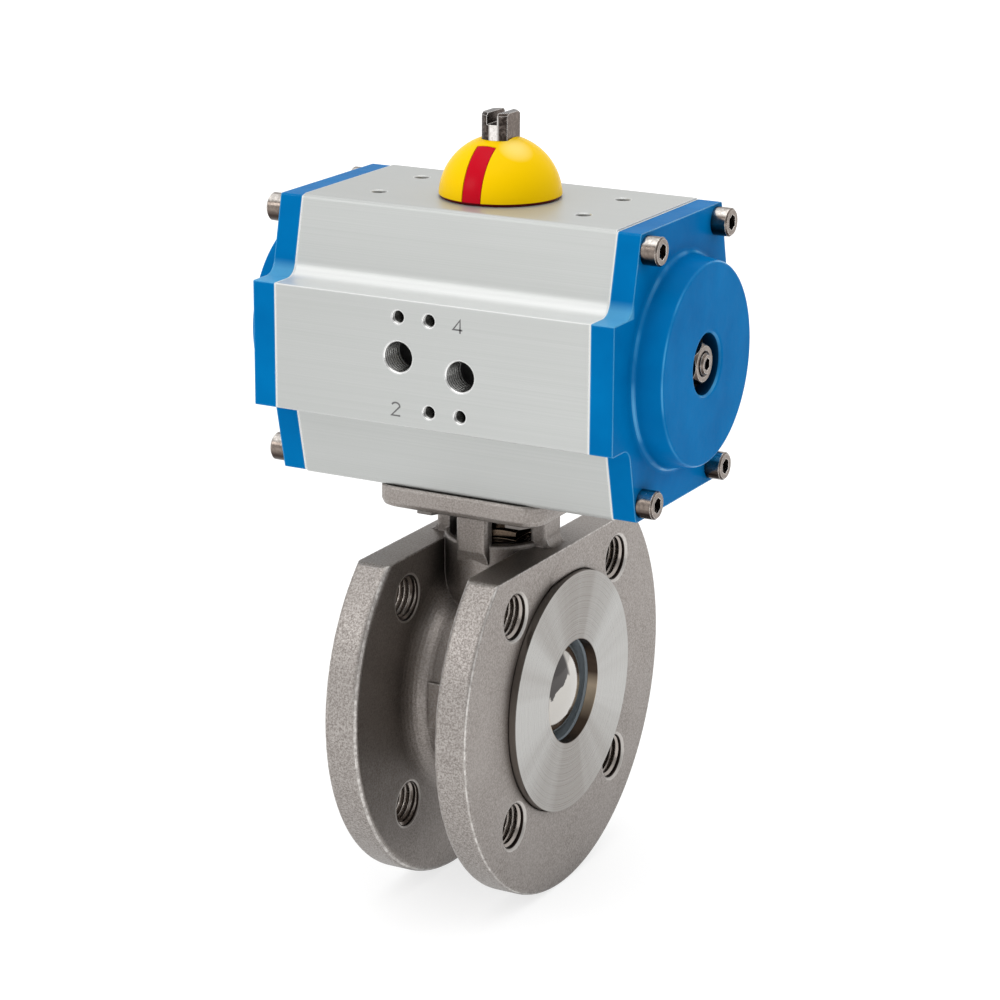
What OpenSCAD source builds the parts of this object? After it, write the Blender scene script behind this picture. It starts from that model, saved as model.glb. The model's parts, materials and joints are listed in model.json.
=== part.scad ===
// Pneumatic actuated valve, drawn closed: a compact flanged ball valve turned
// by a double-acting rack-and-pinion actuator that sits on its neck.
// Origin: centre of the inlet sealing face. +X runs along the pipe, +Z up the
// stem, and -Y is the side with the air ports. Lengths are in millimetres.

/* [Valve body] */
// Distance between the two sealing faces
face_to_face = 62; // [61:0.5:64]
// Diameter of the pipe bore
bore_d = 38; // [34:1:38]
// Outer diameter of the flanges
flange_d = 150; // [146:1:160]
// Thickness of one flange, without its raised face
flange_t = 12.9; // [12:0.1:13.5]
// Diameter of the raised sealing face
raised_d = 88; // [86:1:90]
// Height of the raised sealing face
raised_h = 2.9; // [2:0.1:3]
// Diameter of the circle through the flange holes
bolt_circle = 110; // [108:1:112]
// Thread diameter of the flange holes
flange_bolt_d = 16; // [12:2:16]
// Height of the flat cut across the top of both flanges
flange_flat_z = 54; // [53:0.5:54]
// Diameter of the hub between the flanges
hub_d = 75; // [74:0.5:78]

/* [Neck and mounting pad] */
// Diameter of the neck
neck_d = 38.8; // [38:0.2:40]
// Height of the neck's rim, where the windows start
neck_top = 55.8; // [55:0.1:56]
// Width of each post
post_w = 12.4; // [10:0.2:13]
// Distance of the front and back posts' outer faces from the stem axis
post_reach = 20.7; // [20:0.1:21]
// Distance of the side posts' outer faces from the stem axis
side_post_reach = 22.2; // [21:0.1:23]
// Diameter of the hole through the pad
pad_hole_d = 31.6; // [31:0.1:32]
// Diameter of the space between the posts
window_d = 35.2; // [34:0.2:36]
// Width of the square mounting pad
pad_w = 65.2; // [64:0.2:68]
// Thickness of the mounting pad
pad_t = 8; // [7:0.5:9]

/* [Ball and stem] */
// Diameter of the ball
ball_d = 60; // [59:0.5:60]
// Diameter of the stem
stem_d = 16; // [15:0.5:16]
// Width of the stem's square
stem_square = 11; // [10:0.5:11]

/* [Actuator] */
// Height of the actuator's underside above the pipe axis
act_base = 76.75; // [76:0.05:77.3]
// Height of the actuator body
act_h = 100.7; // [100:0.1:102]
// Height of the end caps
cap_h = 99.5; // [98:0.5:100]
// Length of the extruded body
act_len = 121.6; // [120:0.2:126]
// Width of the end caps across the top and the bottom
top_w = 63.2; // [62:0.2:65]
// Width of the shoulders beside the port band
shoulder_w = 73.4; // [72:0.2:75]
// Distance of the port face from the drive axis
port_reach = 50.5; // [50:0.5:52]
// Distance of the back face from the drive axis
back_reach = 43.5; // [43:0.5:46]
// Height of the port band
band_h = 44.6; // [42:0.2:46]
// Diameter of the cylinder
cylinder_d = 75; // [74:0.5:75]

/* [End caps] */
// Thickness of the cap gasket
gasket_t = 0.5; // [0.4:0.1:1]
// Thickness of the cap plate
cap_plate_t = 8.6; // [8:0.1:9]
// Height of the round boss above the cap plate
boss_h = 10.7; // [10:0.1:11]
// Radius of the boss at its foot
boss_foot_r = 36.8; // [36.4:0.1:38]
// Radius of the boss at its face
boss_face_r = 35.6; // [34:0.1:36]

/* [Drive] */
// Gear module of the pinion and the racks
gear_module = 2; // [2:1:2]
// Teeth on the pinion
pinion_teeth = 12; // [12:4:12]
// Pressure angle of the teeth
pressure_angle = 25; // [24:1:26]
// Total backlash between the pinion and a rack
backlash = 0.2; // [0.15:0.05:0.3]

/* [Position indicator] */
// Outer radius of the dome
dome_r = 21.6; // [21:0.1:22]
// Width of the red stripe
stripe_w = 7.2; // [6:0.1:9]
// Height of the shaft's top above the actuator body
shaft_rise = 29.6; // [29:0.1:31]

/* [Hidden] */

$fn = 96;
// Small overlap that joins two solids of one part
bite = 0.3;
// Radial clearance of a part that turns or slides in another
running = 0.05;
// Clearance round a screw shank or a loose fit
loose = 0.3;

// Pipe and flange positions, measured from the stem axis
stem_x = face_to_face / 2;
flange_out = stem_x - raised_h;
flange_in = flange_out - flange_t;
flange_r = flange_d / 2;
raised_r = raised_d / 2;
bore_r = bore_d / 2;
hub_r = hub_d / 2;
hub_fillet = 8;
hole_offset = bolt_circle / 2 * cos(45);
hole_chamfer = 1;
cast_pad_w = 15;
cast_pad_h = 17;
cast_pad_rise = 0.8;
bulge_r = 13;
bulge_rise = 1.3;
bulge_z = 39.5;

// Ball cavity, seats and screwed insert
ball_r = ball_d / 2;
cavity_r = ball_r + 1.2;
seat_r = 26;
seat_back = stem_x - 4;
seat_front = seat_back - 8;
seat_lip_t = 1.3;
seat_relief_r = 21.2;
thread_r = cavity_r + 1.8;
insert_end = flange_in - 0.7;
insert_shoulder = insert_end - 1;
insert_plate = stem_x - 5;
insert_gap = 0.35;

// Stem and gland, as heights above the pipe axis
slot_floor = 22.5;
tongue_w = 9;
tongue_len = 18;
collar_bottom = 31.2;
collar_top = 35;
collar_r = 10.5;
thrust_top = 37;
packing_bottom = 39;
packing_top = 49;
packing_r = 12;
gland_floor = 51;
post_foot_z = 53.3;
gland_top = 52.5;
spring_top = 54.7;
washer_top = 55.4;
nut_top = 57.1;
lock_nut_top = 60;
nut_w = 24;
nut_turn = 24;
nut_edge = 1.1;
square_bottom = 67;
stem_top = 92;
pad_top = act_base;
pad_bottom = pad_top - pad_t;
pad_corner_r = 8;
pad_screw_offset = 25 * cos(45);
pad_screw_d = 6;
pad_washer_t = 1;
pad_washer_r = 5.4;
pad_head_h = 2.8;
ring_r = 17.5;
ring_depth = 2;

// Actuator, as heights above the pipe axis
act_mid = act_base + act_h / 2;
act_top = act_base + act_h;
half_len = act_len / 2;
cyl_r = cylinder_d / 2;
shoulder_z = 27.8;
fillet_r = 5.5;
side_tilt = 13.3;
body_edge_r = 1.8;
cap_edge_r = 1;
band_edge_r = 0.5;
cap_in = half_len + gasket_t;
cap_out = cap_in + cap_plate_t;
boss_face = cap_out + boss_h;
cap_cavity_r = 31;
cap_wall = 4.5;
cap_screw_y = 27.5;
cap_screw_z = 43.7;
cap_screw_d = 6;
stop_recess_r = 10.5;
stop_recess_d = 7;
stop_floor = boss_face - stop_recess_d;
stop_boss_r = 14.5;
stop_boss_in = 66;
stop_screw_d = 8;
stop_nut_w = 13;
stop_seal_t = 1;
channel_y = -43.5;
channel_z = -9.5;
channel_r = 2;
port_r = 5.72;
port_depth = 12;
port_passage_r = 2.5;
m5_r = 2.5;
m5_depth = 10;
namur_x = 12;
namur_z = 16;
port_z = 2;
top_hole_x = 40;
top_hole_y = 15;

// Pinion and racks
pitch_r = gear_module * pinion_teeth / 2;
base_r = pitch_r * cos(pressure_angle);
tip_r = pitch_r + gear_module;
root_r = pitch_r - 1.25 * gear_module;
tooth_pitch = PI * gear_module;
tooth_angle = 360 / pinion_teeth;
stroke = pitch_r * PI / 2;
gear_half_h = 15;
rack_half_h = 13;
rack_back = 29.5;
arm_end = 22.5;
piston_in = 24;
piston_t = 14.5;
piston_out = piston_in + piston_t;
piston_r = cyl_r - loose;
journal_low_r = 15;
bearing_low_r = 17;
journal_top_r = 12.5;
bearing_top_r = 14.5;
journal_low_top = 92;
waist_r = 13;
o_ring_r = 1.25;
o_ring_low_z = act_base + 10;
o_ring_top_z = act_top - 10;
o_ring_groove_h = 2.9;
groove_drop = 0.6;

// Indicator and shaft end
washer_r = 17;
thrust_washer_top = act_top + 1.5;
steel_washer_top = thrust_washer_top + loose + 1;
circlip_top = steel_washer_top + 1.3;
circlip_groove_r = 11.7;
shaft_step_z = circlip_top + 1.6;
shaft_r = 6.85;
shaft_flat = 5;
shaft_top = act_top + shaft_rise;
shaft_slot_w = 4;
shaft_slot_d = 4;
shaft_chamfer = 0.9;
dome_z = act_top - 0.2;
dome_foot = act_top + 1;
dome_wall = 2;
core_r = dome_r - dome_wall - 0.15;
core_wall = 1.8;
stripe_end_y = 10;
stripe_gap = 0.12;
base_ring_r = dome_r - 0.4;

// Points along an arc about c, from angle a0 to angle a1
function arc(c, r, a0, a1, n = 8) =
  [for (i = [0:n]) let (a = a0 + (a1 - a0) * i / n) [c[0] + r * cos(a), c[1] + r * sin(a)]];
function reversed(v) = [for (i = [len(v) - 1:-1:0]) v[i]];
function flip_x(v) = [for (p = v) [-p[0], p[1]]];
function flip_y(v) = [for (p = v) [p[0], -p[1]]];
// Outline of a rectangle with round corners
function round_rect(w, d, r, n = 6) = concat(
  arc([w / 2 - r, d / 2 - r], r, 0, 90, n),
  arc([-w / 2 + r, d / 2 - r], r, 90, 180, n),
  arc([-w / 2 + r, -d / 2 + r], r, 180, 270, n),
  arc([w / 2 - r, -d / 2 + r], r, 270, 360, n)
);
// Angle of an involute at radius r, in degrees
function roll(r) = let (c = base_r / r) sqrt(1 - c * c) / c * 180 / PI - acos(c);
// Half the angle that a pinion tooth spans at radius r
function tooth_half(r) =
  90 / pinion_teeth - backlash / 4 / pitch_r * 180 / PI + roll(pitch_r) - roll(r);

module on_stem() {
  translate([stem_x, 0, 0]) children();
}
module on_drive() {
  translate([stem_x, 0, act_mid]) children();
}
// Turns a solid about Z so that its Z axis lies along +X
module along_x() {
  rotate([0, 90, 0]) children();
}
module rod_x(x0, x1, r) {
  translate([x0, 0, 0]) along_x() cylinder(h = x1 - x0, r = r);
}
module rod_z(z0, z1, r) {
  translate([0, 0, z0]) cylinder(h = z1 - z0, r = r);
}
module tube_x(x0, x1, outer, inner) {
  difference() {
    rod_x(x0, x1, outer);
    rod_x(x0 - 1, x1 + 1, inner);
  }
}
module tube_z(z0, z1, outer, inner) {
  difference() {
    rod_z(z0, z1, outer);
    rod_z(z0 - 1, z1 + 1, inner);
  }
}
module torus(ring, section) {
  rotate_extrude() translate([ring, 0]) circle(r = section, $fn = 32);
}
// Copies a shape to the four corners of a rectangle
module corners(x, y) {
  for (sx = [-1, 1])
    for (sy = [-1, 1])
      translate([sx * x, sy * y, 0]) children();
}
// Copies a shape to the four bolt positions on a plane across X
module corners_x(y, z) {
  for (sy = [-1, 1])
    for (sz = [-1, 1])
      translate([0, sy * y, sz * z]) children();
}
// The left-hand copy of an end piece is the mirror image of the right-hand one
module end_side(left) {
  on_drive() mirror([left ? 1 : 0, 0, 0]) children();
}
// The left-hand piston is the right-hand one turned half round
module piston_side(left) {
  on_drive() rotate([0, 0, left ? 180 : 0]) children();
}

module flange_disc() {
  inner_r = 2.5;
  outer_r = 1.5;
  profile = concat(
    [[0, flange_in]],
    arc([flange_r - inner_r, flange_in + inner_r], inner_r, -90, 0),
    arc([flange_r - outer_r, flange_out - outer_r], outer_r, 0, 90),
    [[0, flange_out]]
  );
  along_x() rotate_extrude($fn = 144) polygon(profile);
}

// Extruded outline that keeps the flanges below their flat, with rounded corners
module flange_limits() {
  corner = 4;
  last = 58;
  reach = 20;
  centre = [sqrt(pow(flange_r - corner, 2) - pow(flange_flat_z - corner, 2)), flange_flat_z - corner];
  tangent = [sin(last), -cos(last)];
  rounding = arc(centre, corner, 90, last, 6);
  half = concat(rounding, [rounding[6] + reach * tangent, [flange_d, -flange_d]]);
  translate([-stem_x, 0, 0]) rotate([90, 0, 90])
    linear_extrude(face_to_face) polygon(concat(half, reversed(flip_x(half))));
}

module hub() {
  half = flange_in + bite;
  top = hub_r + hub_fillet;
  profile = concat(
    [[0, -half], [top, -half]],
    reversed(arc([top, -flange_in + hub_fillet], hub_fillet, 180, 270)),
    arc([top, flange_in - hub_fillet], hub_fillet, 180, 90),
    [[top, half], [0, half]]
  );
  along_x() rotate_extrude() polygon(profile);
}

// The round column that carries the gland, with a flare at its foot
module neck() {
  outer_r = neck_d / 2;
  flare_r = 6;
  flare_top = 35;
  shoulder_r = 1.2;
  profile = concat(
    [[0, 18], [outer_r + flare_r - 1.5, 22]],
    arc([outer_r + flare_r, flare_top], flare_r, 252, 180),
    arc([outer_r - shoulder_r, neck_top - shoulder_r], shoulder_r, 0, 90),
    [[0, neck_top]]
  );
  rotate_extrude() polygon(profile);
}

// Post with round outer corners and a sloping underside where it meets the neck
module post(reach) {
  corner = 1.6;
  half = post_w / 2;
  inner = window_d / 2 - 3;
  low = gland_floor - 2.2;
  low_r = neck_d / 2 - 0.4;
  lean = (post_foot_z - low) / (reach - low_r);
  outline = concat(
    [[inner, -half]],
    arc([reach - corner, -half + corner], corner, -90, 0, 4),
    arc([reach - corner, half - corner], corner, 0, 90, 4),
    [[inner, half]]
  );
  side = [
    [inner - 1, low], [low_r, low], [reach + 1, post_foot_z + lean],
    [reach + 1, pad_top], [inner - 1, pad_top]
  ];
  intersection() {
    translate([0, 0, low - 1]) linear_extrude(pad_bottom - low + 2) polygon(outline);
    translate([0, post_w, 0]) rotate([90, 0, 0]) linear_extrude(2 * post_w) polygon(side);
  }
}

// Curved foot where a post stands on the flat of a flange
module post_foot() {
  foot_r = 3;
  profile = concat(
    [[side_post_reach - 2, flange_flat_z - 1]],
    [[side_post_reach + foot_r, flange_flat_z - 1]],
    arc([side_post_reach + foot_r, flange_flat_z + foot_r], foot_r, 270, 180, 6),
    [[side_post_reach - 2, flange_flat_z + foot_r]]
  );
  translate([0, (post_w - 2) / 2, 0]) rotate([90, 0, 0])
    linear_extrude(post_w - 2) polygon(profile);
}

module pad_layer(z, inset, h) {
  translate([0, 0, z]) linear_extrude(h)
    polygon(round_rect(pad_w - 2 * inset, pad_w - 2 * inset, pad_corner_r - inset));
}

// Square pad with a softly rounded lower edge
module pad() {
  hull() {
    pad_layer(pad_bottom, 2.2, 0.1);
    pad_layer(pad_bottom + 0.7, 0.7, 0.1);
    pad_layer(pad_bottom + 2.2, 0, pad_t - 3);
    pad_layer(pad_top - 0.1, 0.4, 0.1);
  }
}

// Soft bulge on the outer face of a flange, below the post
module flange_bulge() {
  ball = (bulge_r * bulge_r + bulge_rise * bulge_rise) / 2 / bulge_rise;
  intersection() {
    translate([flange_out + bulge_rise - ball, 0, bulge_z]) sphere(r = ball, $fn = 128);
    translate([flange_out - 3, -20, bulge_z - 20]) cube([10, 40, flange_flat_z - bulge_z + 20]);
  }
}

module flange_holes() {
  corners_x(hole_offset, hole_offset) {
    rod_x(-flange_out - 1, flange_out + 1, flange_bolt_d / 2);
    for (side = [0, 1])
      mirror([side, 0, 0]) {
        translate([flange_out - hole_chamfer, 0, 0]) along_x()
          cylinder(h = 2 * hole_chamfer, r1 = flange_bolt_d / 2, r2 = flange_bolt_d / 2 + 2 * hole_chamfer);
        translate([flange_in + hole_chamfer / 2, 0, 0]) along_x() mirror([0, 0, 1])
          cylinder(h = 2 * hole_chamfer, r1 = flange_bolt_d / 2, r2 = flange_bolt_d / 2 + 2 * hole_chamfer);
      }
  }
}

// Bore, ball cavity and the threaded recess that takes the insert
module flow_space() {
  rod_x(-stem_x - 1, 0, bore_r);
  rod_x(-seat_back, 0, seat_r + running);
  rod_x(-seat_front - 0.5, insert_shoulder, cavity_r);
  rod_x(insert_shoulder - 0.1, stem_x, thread_r);
  rod_x(insert_plate, stem_x + 2, raised_r + insert_gap);
}

module stem_space() {
  rod_z(0, thrust_top, packing_r);
  rod_z(0, packing_top, stem_d / 2 + running);
  rod_z(packing_bottom, gland_floor + 1, packing_r);
  rod_z(gland_floor, pad_bottom + 0.5, window_d / 2);
  rod_z(pad_bottom, pad_top + 1, pad_hole_d / 2);
  rod_z(pad_top - ring_depth, pad_top + 1, ring_r + running);
  corners(pad_screw_offset, pad_screw_offset) rod_z(pad_bottom - 3, pad_top + 1, pad_screw_d / 2 + loose);
}

module valve_body() {
  color("#8a847d") on_stem() difference() {
    union() {
      intersection() {
        union() {
          flange_disc();
          mirror([1, 0, 0]) flange_disc();
        }
        flange_limits();
      }
      hub();
      neck();
      flange_bulge();
      mirror([1, 0, 0]) flange_bulge();
      rod_x(-stem_x, -flange_in - 1, raised_r);
      translate([-cast_pad_w / 2, -hub_r - cast_pad_rise, -cast_pad_h / 2])
        cube([cast_pad_w, 2 * (hub_r + cast_pad_rise), cast_pad_h]);
      for (a = [0, 180]) {
        rotate([0, 0, a]) post(side_post_reach);
        rotate([0, 0, a + 90]) post(post_reach);
      }
      post_foot();
      mirror([1, 0, 0]) post_foot();
      pad();
    }
    flow_space();
    stem_space();
    flange_holes();
  }
}

module body_insert() {
  color("#a8a6a2") on_stem() difference() {
    union() {
      rod_x(insert_end, insert_plate + 1, thread_r);
      rod_x(insert_plate, stem_x, raised_r);
    }
    rod_x(0, stem_x + 1, bore_r);
    rod_x(0, seat_back, seat_r + running);
    rod_x(0, seat_front, ball_r - 1);
    sphere(r = ball_r + 1);
  }
}

module insert_gasket() {
  color("#e4e2da") on_stem() tube_x(insert_shoulder, insert_end, thread_r - running, cavity_r + 0.1);
}

module ball() {
  slot_w = tongue_w + 0.2;
  color("#b9bcc0") on_stem() difference() {
    sphere(r = ball_r, $fn = 128);
    rotate([90, 0, 0]) cylinder(h = 2 * ball_r + 2, r = bore_r, center = true);
    translate([-ball_r, -slot_w / 2, slot_floor]) cube([2 * ball_r, slot_w, ball_r]);
  }
}

module seat() {
  difference() {
    tube_x(seat_front, seat_back, seat_r, bore_r + 0.2);
    rod_x(seat_front - 1, seat_back - seat_lip_t, seat_relief_r);
    sphere(r = ball_r + running, $fn = 128);
  }
}

module seat_inlet() {
  color("#e8edef") on_stem() mirror([1, 0, 0]) seat();
}

module seat_outlet() {
  color("#e8edef") on_stem() seat();
}

module stem() {
  color("#a9a9a6") on_stem() {
    intersection() {
      translate([-tongue_len / 2, -tongue_w / 2, slot_floor + 0.3])
        cube([tongue_len, tongue_w, collar_bottom - slot_floor]);
      rod_z(slot_floor, collar_top, collar_r - 0.5);
    }
    rod_z(collar_bottom, collar_top, collar_r);
    rod_z(collar_top - 1, square_bottom, stem_d / 2);
    intersection() {
      translate([-stem_square / 2, -stem_square / 2, square_bottom - 1])
        cube([stem_square, stem_square, stem_top - square_bottom + 1]);
      rod_z(square_bottom - 1, stem_top, stem_d / 2 - 0.4);
    }
  }
}

module stem_thrust_washer() {
  color("#e4e2da") on_stem() tube_z(collar_top + loose, thrust_top, collar_r, stem_d / 2 + running);
}

module stem_packing() {
  gap = 0.15;
  count = 3;
  ring_h = (packing_top - packing_bottom) / count;
  color("#dfe3e4") on_stem()
    for (i = [0:count - 1])
      tube_z(packing_bottom + i * ring_h, packing_bottom + (i + 1) * ring_h - gap,
        packing_r - running, stem_d / 2 + running);
}

module gland_ring() {
  color("#9a9894") on_stem() {
    tube_z(packing_top, gland_floor, packing_r - running, stem_d / 2 + running);
    tube_z(gland_floor, gland_top, packing_r + 1, stem_d / 2 + running);
  }
}

// Two disc springs, stacked with their rims together
module disc_springs() {
  disc_t = 0.6;
  low = gland_top + loose;
  rise = (spring_top - low - 2 * disc_t) / 2;
  inner = stem_d / 2 + 0.1;
  outer = packing_r - 0.5;
  profile = [
    [inner, low], [outer, low + rise], [outer, low + rise + 2 * disc_t], [inner, spring_top],
    [inner, spring_top - disc_t], [outer - 2, low + rise + disc_t], [inner, low + disc_t]
  ];
  color("#77736e") on_stem() rotate_extrude() polygon(profile);
}

module lock_washer() {
  tab_w = 4;
  tab_x = nut_w / 2 + 0.2;
  tab_t = 0.8;
  color("#8f8c88") on_stem() rotate([0, 0, nut_turn + 30]) difference() {
    union() {
      rod_z(spring_top, washer_top, packing_r);
      translate([0, -tab_w / 2, spring_top]) cube([tab_x + tab_t, tab_w, washer_top - spring_top]);
      translate([tab_x, -tab_w / 2, spring_top]) cube([tab_t, tab_w, 2.6]);
    }
    rod_z(spring_top - 1, washer_top + 1, stem_d / 2 + 0.1);
  }
}

// Hexagon nut on the stem, with its upper corners turned off
module stem_nut(low, high) {
  color("#9d968e") on_stem() difference() {
    intersection() {
      rotate([0, 0, nut_turn]) rod_z(low, high, nut_w / 2 / cos(30), $fn = 6);
      translate([0, 0, low])
        cylinder(h = high - low, r1 = nut_w / 2 + (high - low) * 2 - nut_edge, r2 = nut_w / 2 - nut_edge);
    }
    rod_z(low - 1, high + 1, stem_d / 2 + 0.02);
  }
}

module gland_nut() {
  stem_nut(washer_top, nut_top);
}

module lock_nut() {
  stem_nut(nut_top, lock_nut_top);
}

module centring_ring() {
  color("#a9a9a6") on_stem()
    tube_z(pad_top - ring_depth, pad_top + ring_depth, ring_r, pad_hole_d / 2 + 0.1);
}

module mounting_bolts() {
  head_top = pad_bottom - pad_washer_t;
  color("#8f8b86") on_stem() corners(pad_screw_offset, pad_screw_offset) {
    translate([0, 0, head_top - pad_head_h]) cylinder(h = pad_head_h, r = 5 / cos(30), $fn = 6);
    rod_z(head_top - 0.5, pad_top + 8, pad_screw_d / 2 - 0.05);
  }
}

module mounting_washers() {
  color("#8f8b86") on_stem() corners(pad_screw_offset, pad_screw_offset)
    tube_z(pad_bottom - pad_washer_t, pad_bottom, pad_washer_r, pad_screw_d / 2 + 0.1);
}

// Upper edge of one side of the body or a cap, out to the given reach
function side_outline(height, edge, reach) =
  let (
    half = top_w / 2 - (height - cap_h) / 2 * tan(side_tilt),
    high = height / 2,
    setback = edge * tan((90 - side_tilt) / 2),
    fillet_y = shoulder_w / 2 + fillet_r
  )
  concat(
    arc([half - setback, high - edge], edge, 90, side_tilt, 4),
    arc([fillet_y, shoulder_z], fillet_r, 180 + side_tilt, 270),
    arc([reach - band_edge_r, band_h / 2 - band_edge_r], band_edge_r, 90, 0, 3)
  );
function whole_side(height, edge, reach) =
  let (upper = side_outline(height, edge, reach)) concat(upper, reversed(flip_y(upper)));

// Outline of the actuator, extruded along X from x0 to x1
module outline_slice(x0, x1, height, edge) {
  back = whole_side(height, edge, back_reach);
  front = whole_side(height, edge, port_reach);
  translate([x0, 0, 0]) rotate([90, 0, 90])
    linear_extrude(x1 - x0) polygon(concat(back, reversed(flip_x(front))));
}
module cap_slice(x0, x1) {
  outline_slice(x0, x1, cap_h, cap_edge_r);
}

module port(x, z, r, depth) {
  translate([x, -port_reach + depth, z]) rotate([90, 0, 0]) cylinder(h = depth + 1, r = r);
}

module air_channels() {
  port(-namur_x, port_z, port_r, port_depth);
  port(namur_x, -port_z, port_r, port_depth);
  port(-namur_x, port_z, port_passage_r, port_reach - cyl_r + 3);
  translate([0, channel_y, channel_z]) rod_x(-half_len - 1, half_len + 1, channel_r);
  translate([namur_x, channel_y, channel_z]) rod_z(0, -channel_z, channel_r);
}

module control_holes() {
  places = [[-namur_x, namur_z], [0, namur_z], [0, -namur_z], [namur_x, -namur_z]];
  for (p = places) port(p[0], p[1], m5_r, m5_depth);
}

module top_holes() {
  mouth = 0.5;
  high = act_h / 2;
  corners(top_hole_x, top_hole_y) {
    rod_z(high - 8, high + 1, m5_r);
    translate([0, 0, high - mouth]) cylinder(h = 2 * mouth, r1 = m5_r, r2 = m5_r + 2 * mouth);
  }
}

module actuator_body() {
  low = -act_h / 2;
  high = act_h / 2;
  color("#c9cac8") on_drive() difference() {
    outline_slice(-half_len, half_len, act_h, body_edge_r);
    rod_x(-half_len - 1, half_len + 1, cyl_r);
    rod_z(0, high + 1, bearing_top_r);
    rod_z(low - 1, 0, bearing_low_r);
    rod_z(low - 1, low + ring_depth + 0.1, ring_r + running);
    air_channels();
    control_holes();
    top_holes();
    corners(pad_screw_offset, pad_screw_offset) rod_z(low - 1, low + 9, pad_screw_d / 2);
    corners_x(cap_screw_y, cap_screw_z)
      for (side = [0, 1])
        mirror([side, 0, 0]) rod_x(half_len - 16, half_len + 1, cap_screw_d / 2);
  }
}

// Round boss with a rounded face edge and a sweeping foot
module cap_boss() {
  foot = 2.6;
  lip = 1.2;
  profile = concat(
    [[0, cap_in + 2], [boss_foot_r + foot, cap_in + 2]],
    arc([boss_foot_r + foot, cap_out + foot], foot, 270, 186),
    arc([boss_face_r - lip, boss_face - lip], lip, 12, 90, 6),
    [[0, boss_face]]
  );
  along_x() rotate_extrude($fn = 128) polygon(profile);
}

module cap_recess() {
  edge = 2;
  profile = concat(
    [[0, stop_floor], [stop_recess_r, stop_floor]],
    arc([stop_recess_r + edge, boss_face - edge], edge, 180, 90, 6),
    [[stop_recess_r + edge, boss_face + 1], [0, boss_face + 1]]
  );
  along_x() rotate_extrude() polygon(profile);
}

module end_cap() {
  difference() {
    union() {
      difference() {
        union() {
          cap_slice(cap_in, cap_out);
          cap_boss();
        }
        rod_x(cap_in - 1, boss_face - cap_wall, cap_cavity_r);
      }
      rod_x(stop_boss_in, boss_face - 1, stop_boss_r);
    }
    cap_recess();
    rod_x(cap_in, boss_face, stop_screw_d / 2);
    corners_x(cap_screw_y, cap_screw_z) rod_x(cap_in - 1, cap_out + 20, cap_screw_d / 2 + loose);
    translate([cap_in - 1, channel_y - channel_r, channel_z - channel_r])
      cube([3, -channel_y - cap_cavity_r + 6, 2 * channel_r]);
  }
}

module end_cap_left() {
  color("#0a6cb4") end_side(true) end_cap();
}

module end_cap_right() {
  color("#0a6cb4") end_side(false) end_cap();
}

module cap_gasket() {
  difference() {
    cap_slice(half_len, cap_in);
    rod_x(half_len - 1, cap_in + 1, cyl_r);
    corners_x(cap_screw_y, cap_screw_z) rod_x(half_len - 1, cap_in + 1, cap_screw_d / 2 + loose);
    translate([0, channel_y, channel_z]) rod_x(half_len - 1, cap_in + 1, channel_r);
  }
}

module cap_gasket_left() {
  color("#c9c8c2") end_side(true) cap_gasket();
}

module cap_gasket_right() {
  color("#c9c8c2") end_side(false) cap_gasket();
}

// Socket-head cap screw with its head's underside at x = 0, pointing to -X
module cap_screw() {
  head_r = 5;
  head_h = 6;
  edge = 0.6;
  profile = [[0, 0], [head_r, 0], [head_r, head_h - edge], [head_r - edge, head_h], [0, head_h]];
  difference() {
    union() {
      along_x() rotate_extrude() polygon(profile);
      rod_x(-20, 0.5, cap_screw_d / 2 - 0.05);
    }
    translate([head_h - 3, 0, 0]) along_x() cylinder(h = 4, r = 2.5 / cos(30), $fn = 6);
  }
}

module cap_screws_left() {
  color("#b5aca3") end_side(true) corners_x(cap_screw_y, cap_screw_z) translate([cap_out, 0, 0]) cap_screw();
}

module cap_screws_right() {
  color("#b5aca3") end_side(false) corners_x(cap_screw_y, cap_screw_z) translate([cap_out, 0, 0]) cap_screw();
}

// Set screw that limits the opening stroke
module stop_screw() {
  tip = piston_out + stroke + 0.55;
  end = boss_face - 0.2;
  r = stop_screw_d / 2 - running;
  edge = 0.8;
  profile = [[0, tip], [r - edge, tip], [r, tip + edge], [r, end - edge], [r - edge, end], [0, end]];
  difference() {
    along_x() rotate_extrude() polygon(profile);
    translate([end - 4, 0, 0]) along_x() cylinder(h = 5, r = 2 / cos(30), $fn = 6);
  }
}

module stop_screw_left() {
  color("#b0a79e") end_side(true) stop_screw();
}

module stop_screw_right() {
  color("#b0a79e") end_side(false) stop_screw();
}

module stop_nut() {
  low = stop_floor + stop_seal_t;
  high = boss_face - 1.2;
  corner_r = stop_nut_w / 2 / cos(30);
  difference() {
    intersection() {
      translate([low, 0, 0]) along_x() cylinder(h = high - low, r = corner_r, $fn = 6);
      translate([low, 0, 0]) along_x() cylinder(h = high - low, r1 = corner_r + 3.6, r2 = stop_nut_w / 2 - 0.3);
    }
    rod_x(low - 1, high + 1, stop_screw_d / 2);
    translate([high - 0.7, 0, 0]) along_x() cylinder(h = 1, r1 = stop_screw_d / 2, r2 = stop_screw_d / 2 + 1);
  }
}

module stop_nut_left() {
  color("#a79d93") end_side(true) stop_nut();
}

module stop_nut_right() {
  color("#a79d93") end_side(false) stop_nut();
}

module stop_seal() {
  tube_x(stop_floor, stop_floor + stop_seal_t, stop_recess_r - loose, stop_screw_d / 2);
}

module stop_seal_left() {
  color("#26262a") end_side(true) stop_seal();
}

module stop_seal_right() {
  color("#26262a") end_side(false) stop_seal();
}

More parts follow.
